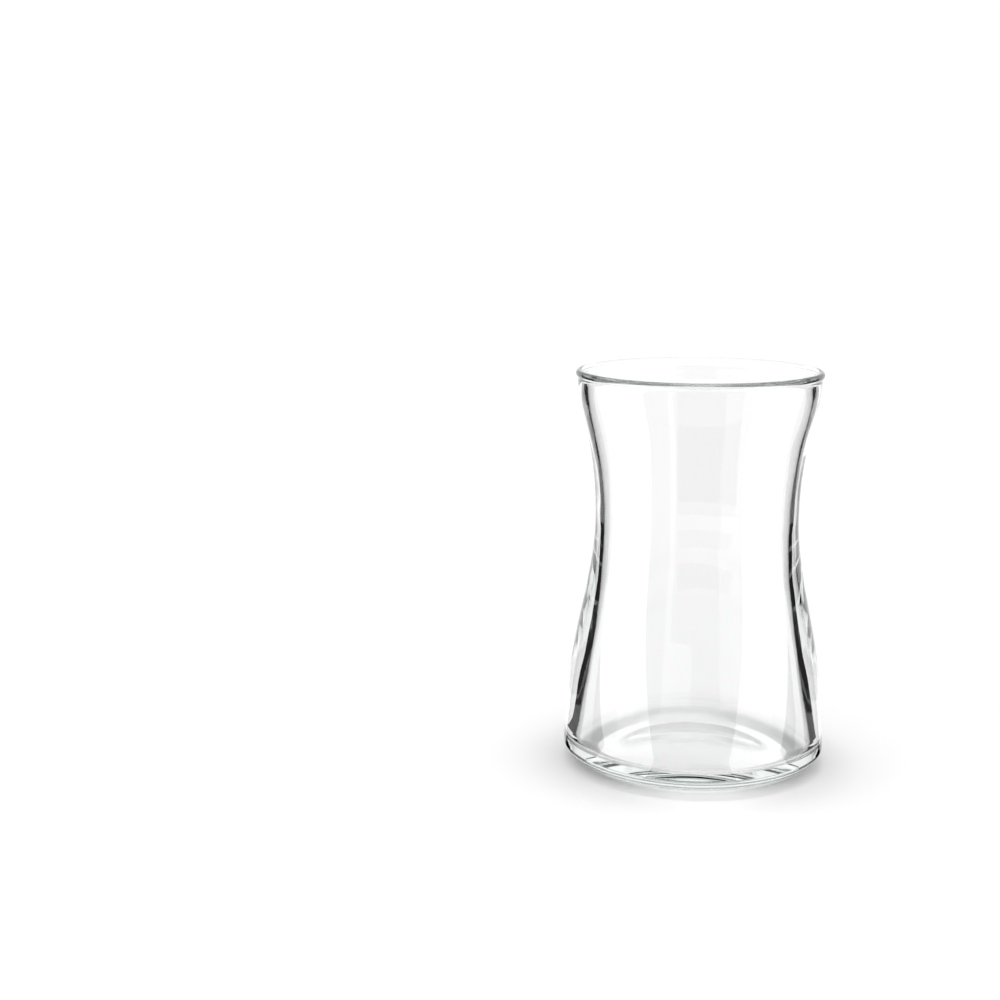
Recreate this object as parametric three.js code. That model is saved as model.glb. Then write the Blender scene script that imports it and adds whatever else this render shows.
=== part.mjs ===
// Waisted tea glass, empty: one solid of clear glass, turned about the upright axis.
// Millimetres, +Z up. The origin is the middle of the foot, at the level that the glass stands on.

import * as THREE from "three";

// Overall sizes.
const HEIGHT = 87;
const LIP_RADIUS = 26.6;
const WAIST_RADIUS = 22.05;
const WAIST_HEIGHT = 55;
const BASE_RADIUS = 28.6;

// Foot: a flat ring that the glass stands on, a shallow hollow inside it, and a rounded heel outside it.
const RING_RADIUS = 20;
const RING_WIDTH = 3.5;
const HOLLOW_DEPTH = 1.0;
const HEEL_HEIGHT = 4.3;

// Lip: a fire-polished bead, which stands out a little over the neck and runs smoothly into the inside.
const BEAD_RADIUS = 0.78;
const BEAD_START = -Math.PI / 3;
const BEAD_END = Math.PI * 5 / 6;
const NECK_DROP = 2.4;
const NECK_STEP_IN = 0.5;
const NECK_WALL = 1.8;

// Inside: the wall keeps nearly one thickness down to the waist and thickens to the base.
// The floor is thick and flat.
const WAIST_WALL = 1.9;
const INNER_WAIST_HEIGHT = 52.7;
const FLOOR_WALL = 3.2;
const FLOOR_HEIGHT = 4.6;
const FLOOR_CORNER_RADIUS = 1.8;

// How far each curve keeps its direction past the named point that it leaves.
const BASE_HANDLE = 22;
const WAIST_HANDLE_DOWN = 15;
const WAIST_HANDLE_UP = 17;
const NECK_HANDLE = 7;
const LIP_HANDLE = 0.8;
const INNER_BASE_HANDLE = 20;
const INNER_WAIST_HANDLE_DOWN = 9;
const INNER_NECK_HANDLE = 9.5;

// How far the inner wall leans off the upright where it leaves the floor and the neck.
const INNER_BASE_LEAN = 0.15;
const INNER_NECK_LEAN = 0.06;

// How finely the round shapes are divided.
const SIDES = 72;
const BODY_STEPS = 8;
const HEEL_STEPS = 5;
const BEAD_STEPS = 7;
const CORNER_STEPS = 3;
const HOLLOW_STEPS = 3;

// Points along an ellipse's arc, from one angle to another, with both ends.
function arcPoints(radius, height, radialAxis, uprightAxis, startAngle, endAngle, steps) {
  const curve = new THREE.EllipseCurve(
    radius, height, radialAxis, uprightAxis, startAngle, endAngle, endAngle < startAngle);
  return curve.getPoints(steps);
}

// Points along one smooth stretch of wall, from one point to another, with a handle at each.
function wallPoints(start, startHandle, endHandle, end) {
  const curve = new THREE.CubicBezierCurve(
    start, start.clone().add(startHandle), end.clone().add(endHandle), end);
  return curve.getPoints(BODY_STEPS);
}

// The underside: from the axis over the shallow hollow to the flat ring.
function undersidePoints() {
  const hollowRadius = RING_RADIUS - RING_WIDTH;
  const points = [];
  for (let step = 0; step < HOLLOW_STEPS; step += 1) {
    const share = step / HOLLOW_STEPS;
    points.push(new THREE.Vector2(hollowRadius * share, HOLLOW_DEPTH * (1 - share * share)));
  }
  points.push(new THREE.Vector2(hollowRadius, 0));
  return points;
}

// The outside: heel, flared base, waist, flared mouth and neck.
function outsidePoints(neck) {
  const heel = arcPoints(
    RING_RADIUS, HEEL_HEIGHT, BASE_RADIUS - RING_RADIUS, HEEL_HEIGHT, -Math.PI / 2, 0, HEEL_STEPS);
  const base = new THREE.Vector2(BASE_RADIUS, HEEL_HEIGHT);
  const waist = new THREE.Vector2(WAIST_RADIUS, WAIST_HEIGHT);
  const lower = wallPoints(
    base, new THREE.Vector2(0, BASE_HANDLE), new THREE.Vector2(0, -WAIST_HANDLE_DOWN), waist);
  const upper = wallPoints(
    waist, new THREE.Vector2(0, WAIST_HANDLE_UP), new THREE.Vector2(0, -NECK_HANDLE), neck);
  return [...heel, ...lower.slice(1), ...upper.slice(1)];
}

// The lip: the round bead, from the neck's outside over the top to its inside.
function lipPoints() {
  const beadCentre = LIP_RADIUS - BEAD_RADIUS;
  return arcPoints(
    beadCentre, HEIGHT - BEAD_RADIUS, BEAD_RADIUS, BEAD_RADIUS, BEAD_START, BEAD_END, BEAD_STEPS);
}

// The inside: lip, neck, mouth, waist and base, down to the rounded corner of the floor.
function insidePoints(lipEnd, neck) {
  const innerNeck = new THREE.Vector2(neck.x - NECK_WALL, neck.y);
  const innerWaist = new THREE.Vector2(WAIST_RADIUS - WAIST_WALL, INNER_WAIST_HEIGHT);
  const cornerHeight = FLOOR_HEIGHT + FLOOR_CORNER_RADIUS;
  const innerBase = new THREE.Vector2(BASE_RADIUS - FLOOR_WALL, cornerHeight);
  const lip = wallPoints(
    lipEnd, new THREE.Vector2(-Math.sin(BEAD_END), Math.cos(BEAD_END)).multiplyScalar(LIP_HANDLE),
    new THREE.Vector2(LIP_HANDLE * INNER_NECK_LEAN, LIP_HANDLE), innerNeck);
  const upper = wallPoints(
    innerNeck, new THREE.Vector2(-INNER_NECK_HANDLE * INNER_NECK_LEAN, -INNER_NECK_HANDLE),
    new THREE.Vector2(0, WAIST_HANDLE_UP), innerWaist);
  const lower = wallPoints(
    innerWaist, new THREE.Vector2(0, -INNER_WAIST_HANDLE_DOWN),
    new THREE.Vector2(-INNER_BASE_HANDLE * INNER_BASE_LEAN, INNER_BASE_HANDLE), innerBase);
  const corner = arcPoints(
    innerBase.x - FLOOR_CORNER_RADIUS, cornerHeight, FLOOR_CORNER_RADIUS, FLOOR_CORNER_RADIUS,
    0, -Math.PI / 2, CORNER_STEPS);
  return [...lip.slice(1), ...upper.slice(1), ...lower.slice(1), ...corner.slice(1)];
}

// The whole outline, from the axis under the foot round to the axis on the floor, turned into a solid.
function glassGeometry() {
  const neck = new THREE.Vector2(LIP_RADIUS - NECK_STEP_IN, HEIGHT - NECK_DROP);
  const lip = lipPoints();
  const outline = [
    ...undersidePoints(),
    ...outsidePoints(neck),
    ...lip,
    ...insidePoints(lip[BEAD_STEPS], neck),
    new THREE.Vector2(0, FLOOR_HEIGHT),
  ];
  const geometry = new THREE.LatheGeometry(outline, SIDES);
  geometry.rotateX(Math.PI / 2);
  return geometry;
}

// Clear soda-lime glass: no colour of its own, polished all over.
const clearGlass = new THREE.MeshStandardMaterial({
  color: 0xf4f8f8,
  roughness: 0.02,
  metalness: 0,
  transparent: true,
  opacity: 0.35,
});

const glass = new THREE.Mesh(glassGeometry(), clearGlass);
glass.name = "glass";

const group = new THREE.Group();
group.add(glass);

export default group;
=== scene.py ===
# Waisted tea glass, empty and clear, on a white table in a soft studio.
# Metres, +Z up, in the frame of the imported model. The script runs from top to bottom.

import math

import bpy
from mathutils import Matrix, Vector


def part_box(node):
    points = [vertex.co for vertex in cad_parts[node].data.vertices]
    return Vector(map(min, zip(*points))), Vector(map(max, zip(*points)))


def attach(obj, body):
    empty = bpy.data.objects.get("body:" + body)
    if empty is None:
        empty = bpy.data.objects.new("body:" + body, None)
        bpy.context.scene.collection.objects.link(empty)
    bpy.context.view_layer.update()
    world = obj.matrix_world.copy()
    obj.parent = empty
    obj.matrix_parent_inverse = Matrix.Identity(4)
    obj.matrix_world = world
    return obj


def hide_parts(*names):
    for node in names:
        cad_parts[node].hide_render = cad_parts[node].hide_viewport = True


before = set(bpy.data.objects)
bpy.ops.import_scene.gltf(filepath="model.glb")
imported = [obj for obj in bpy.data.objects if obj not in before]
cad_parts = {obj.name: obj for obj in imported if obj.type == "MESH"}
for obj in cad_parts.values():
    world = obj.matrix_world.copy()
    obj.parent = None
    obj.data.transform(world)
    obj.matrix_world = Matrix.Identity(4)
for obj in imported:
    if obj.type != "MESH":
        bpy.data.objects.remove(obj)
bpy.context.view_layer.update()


# The glass.
# The real piece is one gather of clear soda-lime glass, blown in a polished mould and cut off hot.
# A flame melts the cut edge into a round bead, which is the lip. Nothing is fixed to it.

MM = 0.001
top_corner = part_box("glass")[1]
HEIGHT = top_corner[2]
BASE_RADIUS = top_corner[0]
LIP_RADIUS = 26.6 * MM
WAIST_RADIUS = 22.05 * MM
WAIST_HEIGHT = 55 * MM

# Foot: a flat ring to stand on, a shallow hollow inside it and a rounded heel outside it.
RING_RADIUS = 20 * MM
RING_WIDTH = 3.5 * MM
HOLLOW_DEPTH = 1.0 * MM
HEEL_HEIGHT = 4.3 * MM

# Lip: a bead that stands out a little over the neck and runs smoothly into the inside.
BEAD_RADIUS = 0.78 * MM
BEAD_START = -60
BEAD_END = 150
NECK_DROP = 2.4 * MM
NECK_STEP_IN = 0.5 * MM
NECK_WALL = 1.8 * MM

# Inside: the wall keeps nearly one thickness down to the waist and thickens to a thick flat floor.
WAIST_WALL = 1.9 * MM
INNER_WAIST_HEIGHT = 52.7 * MM
FLOOR_WALL = 3.2 * MM
FLOOR_HEIGHT = 4.6 * MM
FLOOR_CORNER_RADIUS = 1.8 * MM

# How far each curve keeps its direction past the named point that it leaves, outwards and upwards.
BASE_HANDLE = Vector((0, 22)) * MM
WAIST_HANDLE_DOWN = Vector((0, -15)) * MM
WAIST_HANDLE_UP = Vector((0, 17)) * MM
NECK_HANDLE = Vector((0, -7)) * MM
LIP_HANDLE = 0.8 * MM
INNER_NECK_HANDLE = Vector((-0.57, -9.5)) * MM
INNER_WAIST_HANDLE_DOWN = Vector((0, -9)) * MM
INNER_BASE_HANDLE = Vector((-3, 20)) * MM

# How finely the turned surface is divided.
SIDES = 256
WALL_STEPS = 44
HEEL_STEPS = 14
BEAD_STEPS = 21
CORNER_STEPS = 10
FLAT_STEPS = 10
RING_STEPS = 3
MERGE_DISTANCE = 0.001 * MM


def line(start, end, steps):
    """Points (radius, height) along a straight stretch, without its last point."""
    return [start.lerp(end, step / steps) for step in range(steps)]


def arc(centre, half_width, half_height, start, end, steps):
    """Points along an ellipse's arc between two angles in degrees, with both ends."""
    points = []
    for step in range(steps + 1):
        angle = math.radians(start + (end - start) * step / steps)
        points.append(centre + Vector((half_width * math.cos(angle), half_height * math.sin(angle))))
    return points


def wall(start, leave, arrive, end, steps):
    """Points along one smooth stretch of wall, with a handle at each end, without its first point."""
    points = []
    for step in range(1, steps + 1):
        t = step / steps
        s = 1 - t
        points.append(s ** 3 * start + 3 * s * s * t * (start + leave)
                      + 3 * s * t * t * (end + arrive) + t ** 3 * end)
    return points


# The outline runs from the axis under the foot round the outside and the lip to the axis on the floor.
hollow_radius = RING_RADIUS - RING_WIDTH
underside = []
for step in range(FLAT_STEPS):
    share = step / FLAT_STEPS
    underside.append(Vector((hollow_radius * share, HOLLOW_DEPTH * (1 - share * share))))
underside += line(Vector((hollow_radius, 0)), Vector((RING_RADIUS, 0)), RING_STEPS)

heel_centre = Vector((RING_RADIUS, HEEL_HEIGHT))
heel = arc(heel_centre, BASE_RADIUS - RING_RADIUS, HEEL_HEIGHT, -90, 0, HEEL_STEPS)
base = Vector((BASE_RADIUS, HEEL_HEIGHT))
waist = Vector((WAIST_RADIUS, WAIST_HEIGHT))
neck = Vector((LIP_RADIUS - NECK_STEP_IN, HEIGHT - NECK_DROP))
outside = wall(base, BASE_HANDLE, WAIST_HANDLE_DOWN, waist, WALL_STEPS)
outside += wall(waist, WAIST_HANDLE_UP, NECK_HANDLE, neck, WALL_STEPS)

bead_centre = Vector((LIP_RADIUS - BEAD_RADIUS, HEIGHT - BEAD_RADIUS))
lip = arc(bead_centre, BEAD_RADIUS, BEAD_RADIUS, BEAD_START, BEAD_END, BEAD_STEPS)

inner_neck = neck - Vector((NECK_WALL, 0))
inner_waist = Vector((WAIST_RADIUS - WAIST_WALL, INNER_WAIST_HEIGHT))
inner_base = Vector((BASE_RADIUS - FLOOR_WALL, FLOOR_HEIGHT + FLOOR_CORNER_RADIUS))
bead_end = math.radians(BEAD_END)
leave_bead = Vector((-math.sin(bead_end), math.cos(bead_end))) * LIP_HANDLE
reach_neck = -INNER_NECK_HANDLE.normalized() * LIP_HANDLE
inside = wall(lip[-1], leave_bead, reach_neck, inner_neck, CORNER_STEPS)
inside += wall(inner_neck, INNER_NECK_HANDLE, WAIST_HANDLE_UP, inner_waist, WALL_STEPS)
inside += wall(inner_waist, INNER_WAIST_HANDLE_DOWN, INNER_BASE_HANDLE, inner_base, WALL_STEPS)
corner_centre = inner_base - Vector((FLOOR_CORNER_RADIUS, 0))
corner = arc(corner_centre, FLOOR_CORNER_RADIUS, FLOOR_CORNER_RADIUS, 0, -90, CORNER_STEPS)[1:]
floor_middle = Vector((0, FLOOR_HEIGHT))
inner_floor = line(corner[-1], floor_middle, FLAT_STEPS)[1:] + [floor_middle]

outline = underside + heel + outside + lip + inside + corner + inner_floor

# A plane is merged to one point, which is drawn out along the outline and spun about the upright axis.
bpy.ops.object.select_all(action="DESELECT")
bpy.ops.mesh.primitive_plane_add(size=MM, location=(outline[0].x, 0, outline[0].y))
glass = bpy.context.object
glass.name = "tea_glass"
bpy.ops.object.transform_apply(location=True, rotation=True, scale=True)
bpy.ops.object.mode_set(mode="EDIT")
bpy.ops.mesh.select_all(action="SELECT")
bpy.ops.mesh.merge(type="CENTER")
for here, there in zip(outline, outline[1:]):
    step = there - here
    bpy.ops.mesh.extrude_vertices_move(TRANSFORM_OT_translate={"value": (step.x, 0, step.y)})
bpy.ops.mesh.select_all(action="SELECT")
bpy.ops.mesh.spin(steps=SIDES, angle=2 * math.pi, center=(0, 0, 0), axis=(0, 0, 1))
bpy.ops.mesh.select_all(action="SELECT")
bpy.ops.mesh.remove_doubles(threshold=MERGE_DISTANCE)
bpy.ops.mesh.normals_make_consistent(inside=False)
bpy.ops.object.mode_set(mode="OBJECT")
bpy.ops.object.shade_smooth()

# The mould makes the outside true. The blown inside, between lip and floor, waves by a few
# hundredths of a millimetre.
WAVE_LENGTH = 16 * MM
WAVE_HEIGHT = 0.12 * MM
WAVE_MARGIN = 3 * MM
blown_side = glass.vertex_groups.new(name="blown_side")
for vertex in glass.data.vertices:
    faces_in = vertex.normal.x * vertex.co.x + vertex.normal.y * vertex.co.y < 0
    clear_of_floor = (vertex.co.z - inner_base.y) / WAVE_MARGIN
    clear_of_lip = (neck.y - vertex.co.z) / WAVE_MARGIN
    weight = min(1, clear_of_floor, clear_of_lip)
    if faces_in and weight > 0:
        blown_side.add([vertex.index], weight, "REPLACE")
blown_wave = bpy.data.textures.new("blown_wave", "CLOUDS")
blown_wave.noise_scale = WAVE_LENGTH
blown_wave.noise_depth = 1
wave = glass.modifiers.new("blown_wave", "DISPLACE")
wave.texture = blown_wave
wave.texture_coords = "LOCAL"
wave.vertex_group = blown_side.name
wave.strength = WAVE_HEIGHT
bpy.ops.object.modifier_apply(modifier=wave.name)


def linear(hex_colour):
    """Linear RGBA of an sRGB hex colour."""
    channels = [int(hex_colour[at:at + 2], 16) / 255 for at in (1, 3, 5)]
    lin = [c / 12.92 if c <= 0.04045 else ((c + 0.055) / 1.055) ** 2.4 for c in channels]
    return (*lin, 1)


def node(tree, kind, settings=None, **links):
    """Adds a node, sets its properties and its input values, and links its named or numbered inputs."""
    new = tree.nodes.new(kind)
    for key, value in (settings or {}).items():
        if isinstance(key, int) or key in new.inputs:
            new.inputs[key].default_value = value
        else:
            setattr(new, key, value)
    for key, socket in links.items():
        name = int(key[1:]) if key[1:].isdigit() else key.replace("_", " ")
        tree.links.new(socket, new.inputs[name])
    return new


# Clear soda-lime glass, fire-polished all over: it has no roughness, so the eye sees only what it bends
# and mirrors. Iron in the sand leaves a faint green in its thick parts. The skin ripples a little.
GLASS_IOR = 1.52
IRON_GREEN = linear("#d9ebe4")
IRON_DENSITY = 4.0
RIPPLE_LENGTH = 9 * MM
RIPPLE_HEIGHT = 0.02 * MM
blown_glass = bpy.data.materials.new("blown_soda_lime_glass")
blown_glass.use_nodes = True
tree = blown_glass.node_tree
tree.nodes.clear()
place = node(tree, "ShaderNodeTexCoord")
ripple = node(tree, "ShaderNodeTexNoise", {"Scale": 1 / RIPPLE_LENGTH, "Detail": 1.0},
              Vector=place.outputs["Object"])
skin = node(tree, "ShaderNodeBump", {"Strength": 1.0, "Distance": RIPPLE_HEIGHT},
            Height=ripple.outputs[0])
surface = node(tree, "ShaderNodeBsdfPrincipled", {
    "Base Color": linear("#ffffff"), "Roughness": 0.0, "IOR": GLASS_IOR, "Transmission Weight": 1.0},
    Normal=skin.outputs["Normal"])
tint = node(tree, "ShaderNodeVolumeAbsorption", {"Color": IRON_GREEN, "Density": IRON_DENSITY})
node(tree, "ShaderNodeOutputMaterial", Surface=surface.outputs["BSDF"], Volume=tint.outputs["Volume"])
glass.data.materials.append(blown_glass)

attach(glass, "root")
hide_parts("glass")


# The table.
# A wide matt white board, a hair under the foot so that the two don't share a face.

TABLE_LEVEL = -0.05 * MM
TABLE_RADIUS = 2.8
TABLE_SIDES = 64
bpy.ops.object.select_all(action="DESELECT")
bpy.ops.mesh.primitive_circle_add(
    vertices=TABLE_SIDES, radius=TABLE_RADIUS, fill_type="NGON", location=(0, 0, TABLE_LEVEL))
table = bpy.context.object
table.name = "table"
matt_white = bpy.data.materials.new("matt_white_paint")
matt_white.use_nodes = True
matt_white.node_tree.nodes.clear()
paint = node(matt_white.node_tree, "ShaderNodeBsdfPrincipled", {
    "Base Color": linear("#fdfdfd"), "Roughness": 1.0, "Specular IOR Level": 0.0})
node(matt_white.node_tree, "ShaderNodeOutputMaterial", Surface=paint.outputs["BSDF"])
table.data.materials.append(matt_white)


# The light.
# A white tent all round and overhead lights the table from above, softly and almost without a shadow.
# The glass sees the tent just white, and its top a little darker, where the tent is open.

# What the table gets: low light from the sides and full light from overhead.
SKY_LOW = 0.33
SKY_HIGH = 1.155
SKY_HIGH_FROM = 0.6

# What the glass sees: white, which falls off towards the open top.
WHITE_LEVEL = 1.01
TOP_LEVEL = 0.75
TOP_START = 0.7
TOP_FULL = 0.9

tent = bpy.data.worlds.new("white_tent")
bpy.context.scene.world = tent
tent.use_nodes = True
tent.cycles.sampling_method = "NONE"
tree = tent.node_tree
tree.nodes.clear()
place = node(tree, "ShaderNodeTexCoord")
way = node(tree, "ShaderNodeSeparateXYZ", Vector=place.outputs["Generated"])
on_table = node(tree, "ShaderNodeMapRange", {
    "From Min": 0.0, "From Max": SKY_HIGH_FROM, "To Min": SKY_LOW, "To Max": SKY_HIGH,
    "interpolation_type": "SMOOTHSTEP"}, Value=way.outputs["Z"])
in_glass = node(tree, "ShaderNodeMapRange", {
    "From Min": TOP_START, "From Max": TOP_FULL, "To Min": WHITE_LEVEL, "To Max": TOP_LEVEL,
    "interpolation_type": "SMOOTHSTEP"}, Value=way.outputs["Z"])
ray = node(tree, "ShaderNodeLightPath")
from_table = node(tree, "ShaderNodeMath", {"operation": "MINIMUM", 1: 1.0},
                  _0=ray.outputs["Diffuse Depth"])
level = node(tree, "ShaderNodeMix", {"data_type": "FLOAT"},
             _0=from_table.outputs[0], _2=in_glass.outputs[0], _3=on_table.outputs[0])
sheet = node(tree, "ShaderNodeBackground", {"Color": linear("#ffffff")}, Strength=level.outputs[0])
node(tree, "ShaderNodeOutputWorld", Surface=sheet.outputs[0])


# The cards and cloths.
# Black cloths lie on the table and stand before it, and two softboxes stand beside the camera.
# The glass alone sees them. They draw its dark edges, its pale grey middle and the bright bands beside it.

# The left side mirrors the right one about the line of sight. Azimuths are in degrees, all else in mm.
MIRROR_AZIMUTH = 6.6
CAMERA_SIDE = 186.6
CARD_COLUMNS = 24

# How bright each kind of card is.
BLACK = 0.0
DARK_CLOTH = 0.02
SOFTBOX = 3.0

# Light that went in and out of one wall was bent twice.
BENT_BY_ONE_WALL = 2
MARGIN = 0.5


def along(azimuth):
    """Unit vector at an azimuth in degrees, clockwise from +Y as seen from above."""
    return Vector((math.sin(math.radians(azimuth)), math.cos(math.radians(azimuth)), 0))


def card_finish(name, strength, seen_through):
    """A glow, seen through "any glass", "one wall", "one wall, turned twice" or "not one wall" only."""
    finish = bpy.data.materials.new(name)
    finish.use_nodes = True
    tree = finish.node_tree
    tree.nodes.clear()
    glow = node(tree, "ShaderNodeEmission", {"Strength": strength})
    shader = glow.outputs["Emission"]
    if seen_through != "any glass":
        # Light that comes straight through never meets such a card. It has to be mirrored on its way.
        ray = node(tree, "ShaderNodeLightPath")
        walls = node(tree, "ShaderNodeMath", {"operation": "COMPARE", 1: BENT_BY_ONE_WALL, 2: MARGIN},
                     _0=ray.outputs["Transmission Depth"])
        if seen_through == "not one wall":
            walls = node(tree, "ShaderNodeMath", {"operation": "SUBTRACT", 0: 1.0},
                         _1=walls.outputs[0])
        turns = node(tree, "ShaderNodeMath", {"operation": "SUBTRACT"},
                     _0=ray.outputs["Ray Depth"], _1=ray.outputs["Transmission Depth"])
        least_turns = 2 if seen_through == "one wall, turned twice" else 1
        turned = node(tree, "ShaderNodeMath", {"operation": "GREATER_THAN", 1: least_turns - MARGIN},
                      _0=turns.outputs[0])
        seen = node(tree, "ShaderNodeMath", {"operation": "MULTIPLY"},
                    _0=walls.outputs[0], _1=turned.outputs[0])
        clear = node(tree, "ShaderNodeBsdfTransparent")
        mix = node(tree, "ShaderNodeMixShader", None,
                   _0=seen.outputs[0], _1=clear.outputs[0], _2=shader)
        shader = mix.outputs[0]
    node(tree, "ShaderNodeOutputMaterial", Surface=shader)
    return finish


def card(name, rows, strength, seen_by, seen_through="any glass", mirrored=False):
    """A card or cloth through rows of (distance in mm, height in mm, first azimuth, last azimuth)."""
    bpy.ops.object.select_all(action="DESELECT")
    bpy.ops.mesh.primitive_grid_add(x_subdivisions=CARD_COLUMNS, y_subdivisions=len(rows) - 1, size=1)
    piece = bpy.context.object
    piece.name = name
    for vertex in piece.data.vertices:
        across = vertex.co.x + 0.5
        distance, height, first, last = rows[round((vertex.co.y + 0.5) * (len(rows) - 1))]
        azimuth = first + (last - first) * across
        if mirrored:
            azimuth = 2 * MIRROR_AZIMUTH - azimuth
        vertex.co = (along(azimuth) * distance + Vector((0, 0, height))) * MM
    piece.data.materials.append(card_finish(name, strength, seen_through))
    piece.visible_camera = False
    piece.visible_diffuse = False
    piece.visible_shadow = False
    piece.visible_volume_scatter = False
    piece.visible_glossy = "mirrored" in seen_by
    piece.visible_transmission = "bent" in seen_by


# The cloths lie in layers between the table's face and the foot's, and start just outside the foot.
HOP_LEVEL = -0.03
FLAG_LEVEL = -0.02
CLOTH_LEVEL = -0.01
BOX_LEVEL = -0.005
NEAR_EDGE = 31

# Two long flags behind the glass draw the dark line at each side, by light that turns once inside the
# wall. The short ones under them are for light that turns twice. Each row is a distance and two azimuths.
FAR_EDGE = 1500
flag_places = [(60, 70, 92), (79, 66, 80), (93, 62, 77), (130, 52.5, 74), (200, 44, 70),
               (230, 40, 68), (260, 36, 67), (300, 33, 66), (600, 29, 64), (FAR_EDGE, 28, 62)]
hop_places = [(NEAR_EDGE, 20, 60), (75, 20, 60), (165, 25, 45)]
flag_rows = [(distance, FLAG_LEVEL, first, last) for distance, first, last in flag_places]
hop_rows = [(distance, HOP_LEVEL, first, last) for distance, first, last in hop_places]
for side, mirrored in (("right", False), ("left", True)):
    card("flag_" + side, flag_rows, DARK_CLOTH, "bent", "one wall", mirrored)
    card("hop_flag_" + side, hop_rows, DARK_CLOTH, "bent", "one wall, turned twice", mirrored)

# Four narrow flags do the same for whoever walks round the table.
FLAG_HALF_ANGLE = 14
for name, middle in (
        ("flag_west", -84.5), ("flag_south_west", -129.5), ("flag_east", 95.5), ("flag_south", 174.5)):
    first = middle - FLAG_HALF_ANGLE
    last = middle + FLAG_HALF_ANGLE
    rows = [(NEAR_EDGE, FLAG_LEVEL, first, last), (FAR_EDGE, FLAG_LEVEL, first, last)]
    card(name, rows, BLACK, "bent", "one wall")

# Black cloth at both sides, with its far end hung up, which the glass mirrors beside its dark lines.
HANG_DISTANCE = 700
HANG_HEIGHT = 150
side_places = [(NEAR_EDGE, CLOTH_LEVEL, 91), (60, CLOTH_LEVEL, 67.5), (100, CLOTH_LEVEL, 58.7),
               (200, CLOTH_LEVEL, 52.3), (HANG_DISTANCE, CLOTH_LEVEL, 48), (HANG_DISTANCE, HANG_HEIGHT, 48)]
side_rows = [(distance, height, first, CAMERA_SIDE) for distance, height, first in side_places]
card("side_cloth_right", side_rows, BLACK, "mirrored")
card("side_cloth_left", side_rows, BLACK, "mirrored", mirrored=True)

# The unlit side of the room, in front of the glass, makes its middle pale grey down to the thick base.
ROOM_DISTANCE = 61
ROOM_LOW = 28
ROOM_HIGH = 150
ROOM_AZIMUTHS = (157, 246)
FRONT_HIGH = 95
FRONT_AZIMUTHS = (166, 207)
edge_rows = [(distance, CLOTH_LEVEL, *ROOM_AZIMUTHS) for distance in (NEAR_EDGE, ROOM_DISTANCE)]
room_rows = [(ROOM_DISTANCE, height, *ROOM_AZIMUTHS) for height in (ROOM_LOW, ROOM_HIGH)]
front_rows = [(ROOM_DISTANCE, height, *FRONT_AZIMUTHS) for height in (ROOM_LOW, FRONT_HIGH)]
card("dark_table_edge", edge_rows, BLACK, "mirrored bent", "not one wall")
card("dark_room", room_rows, BLACK, "mirrored bent", "not one wall")
card("dark_front", front_rows, BLACK, "bent", "one wall")

# Two softboxes, one on each side of the camera, draw the white bands beside the grey middle.
BOX_DISTANCE = 59
box_rows = [(NEAR_EDGE, BOX_LEVEL, 123, 162), (BOX_DISTANCE, BOX_LEVEL, 123, 162),
            (BOX_DISTANCE, 22, 111, 154.6), (BOX_DISTANCE, 48, 95.3, 144.7),
            (BOX_DISTANCE, 90, 95.3, 144.7)]
card("softbox_right", box_rows, SOFTBOX, "mirrored")
card("softbox_left", box_rows, SOFTBOX, "mirrored", mirrored=True)


# The foot's shade.
# The heavy foot turns light away from the table at its two sides. A dark skin inside the glass paints
# that shadow on the table. Only the table's own light meets it, from outside, and it is clear in front and
# behind.

SHADE_SIDE = 1.0
SHADE_FRONT = 0.0
SHADE_FRONT_END = 0.1
SHADE_SIDE_FROM = 0.55
SHADE_SIDES = 96
foot_shade = bpy.data.materials.new("foot_shade")
foot_shade.use_nodes = True
tree = foot_shade.node_tree
tree.nodes.clear()
face = node(tree, "ShaderNodeNewGeometry")
way = node(tree, "ShaderNodeSeparateXYZ", Vector=face.outputs["Normal"])
sideways = node(tree, "ShaderNodeMath", {"operation": "ABSOLUTE"}, _0=way.outputs["X"])
dark = node(tree, "ShaderNodeMapRange", {
    "From Min": SHADE_FRONT_END, "From Max": SHADE_SIDE_FROM,
    "To Min": SHADE_FRONT, "To Max": SHADE_SIDE}, Value=sideways.outputs[0])
ray = node(tree, "ShaderNodeLightPath")
from_table = node(tree, "ShaderNodeMath", {"operation": "MINIMUM"},
                  _0=ray.outputs["Diffuse Depth"], _1=dark.outputs[0])
from_outside = node(tree, "ShaderNodeMath", {"operation": "SUBTRACT", "use_clamp": True},
                    _0=from_table.outputs[0], _1=face.outputs["Backfacing"])
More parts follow.
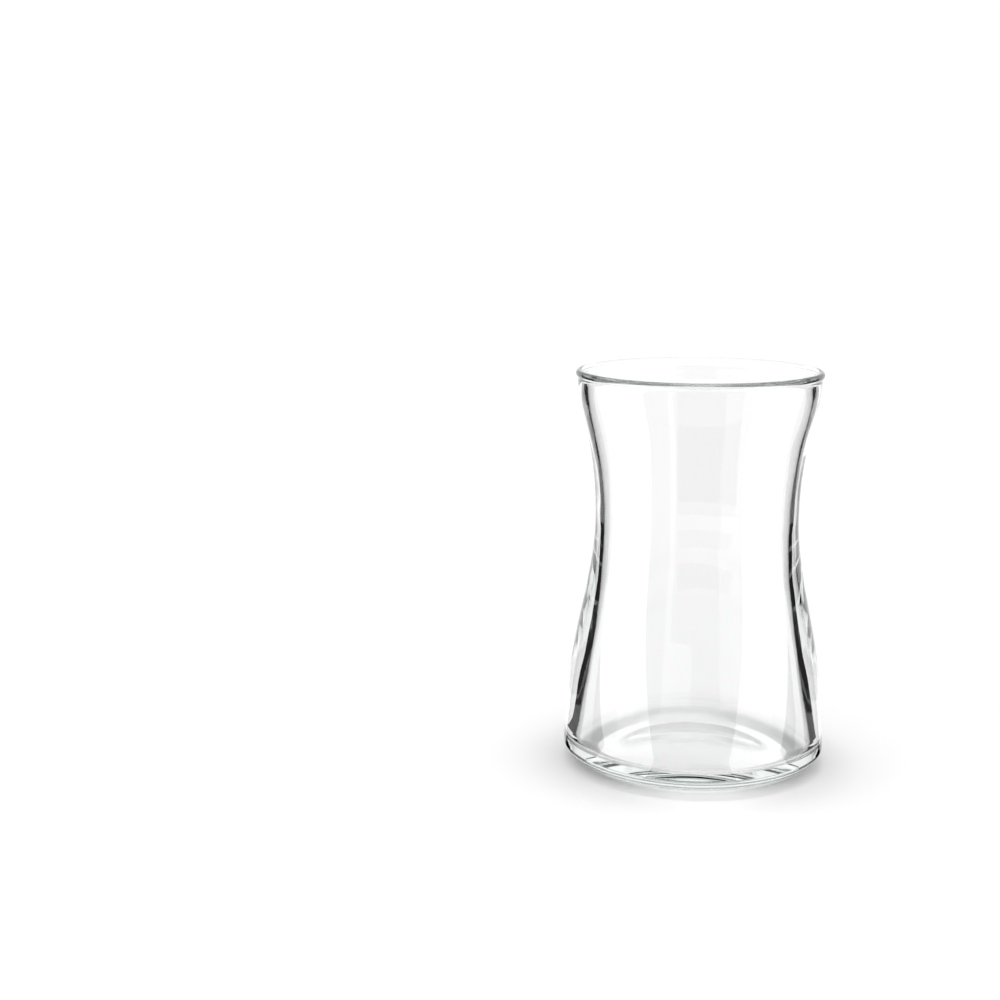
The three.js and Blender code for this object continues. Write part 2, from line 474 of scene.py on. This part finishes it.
clear = node(tree, "ShaderNodeBsdfTransparent")
black = node(tree, "ShaderNodeEmission", {"Strength": 0.0})
mix = node(tree, "ShaderNodeMixShader", None,
           _0=from_outside.outputs[0], _1=clear.outputs[0], _2=black.outputs[0])
node(tree, "ShaderNodeOutputMaterial", Surface=mix.outputs[0])

# Name, lower and upper radius, lower and upper edge, all in millimetres.
for name, low_radius, high_radius, bottom, top in (
        ("heel_shade", 20.5, 28.2, 0.1, 4.0),
        ("wall_shade", 28.2, 28.0, 4.0, 11)):
    bpy.ops.object.select_all(action="DESELECT")
    bpy.ops.mesh.primitive_cone_add(
        vertices=SHADE_SIDES, radius1=low_radius * MM, radius2=high_radius * MM,
        depth=(top - bottom) * MM, end_fill_type="NOTHING", location=(0, 0, (top + bottom) / 2 * MM))
    piece = bpy.context.object
    piece.name = name
    piece.data.materials.append(foot_shade)
    piece.visible_camera = False
    piece.visible_glossy = False
    piece.visible_shadow = False
    piece.visible_volume_scatter = False


# The camera.
# It stands a little to the left and looks down by about ten degrees. The glass is right of the middle,
# with the empty table beside it.

CAMERA_PLACE = Vector((-42.95, -376.5, 128.8)) * MM
CAMERA_DOWN = 10.591
CAMERA_LENS = 63.24
SENSOR_WIDTH = 36
CLIP_START = 10 * MM
camera_data = bpy.data.cameras.new("camera")
camera_data.lens = CAMERA_LENS
camera_data.sensor_width = SENSOR_WIDTH
camera_data.clip_start = CLIP_START
camera = bpy.data.objects.new("camera", camera_data)
bpy.context.collection.objects.link(camera)
camera.location = CAMERA_PLACE
camera.rotation_euler = (math.radians(90 - CAMERA_DOWN), 0, 0)
bpy.context.scene.camera = camera
bpy.context.scene.view_settings.view_transform = "Standard"

# Light runs far inside the wall before it comes out, and nothing blurs it on the way.
MOST_BOUNCES = 24
MOST_MIRRORINGS = 16
cycles = bpy.context.scene.cycles
cycles.max_bounces = MOST_BOUNCES
cycles.transmission_bounces = MOST_BOUNCES
cycles.glossy_bounces = MOST_MIRRORINGS
cycles.blur_glossy = 0
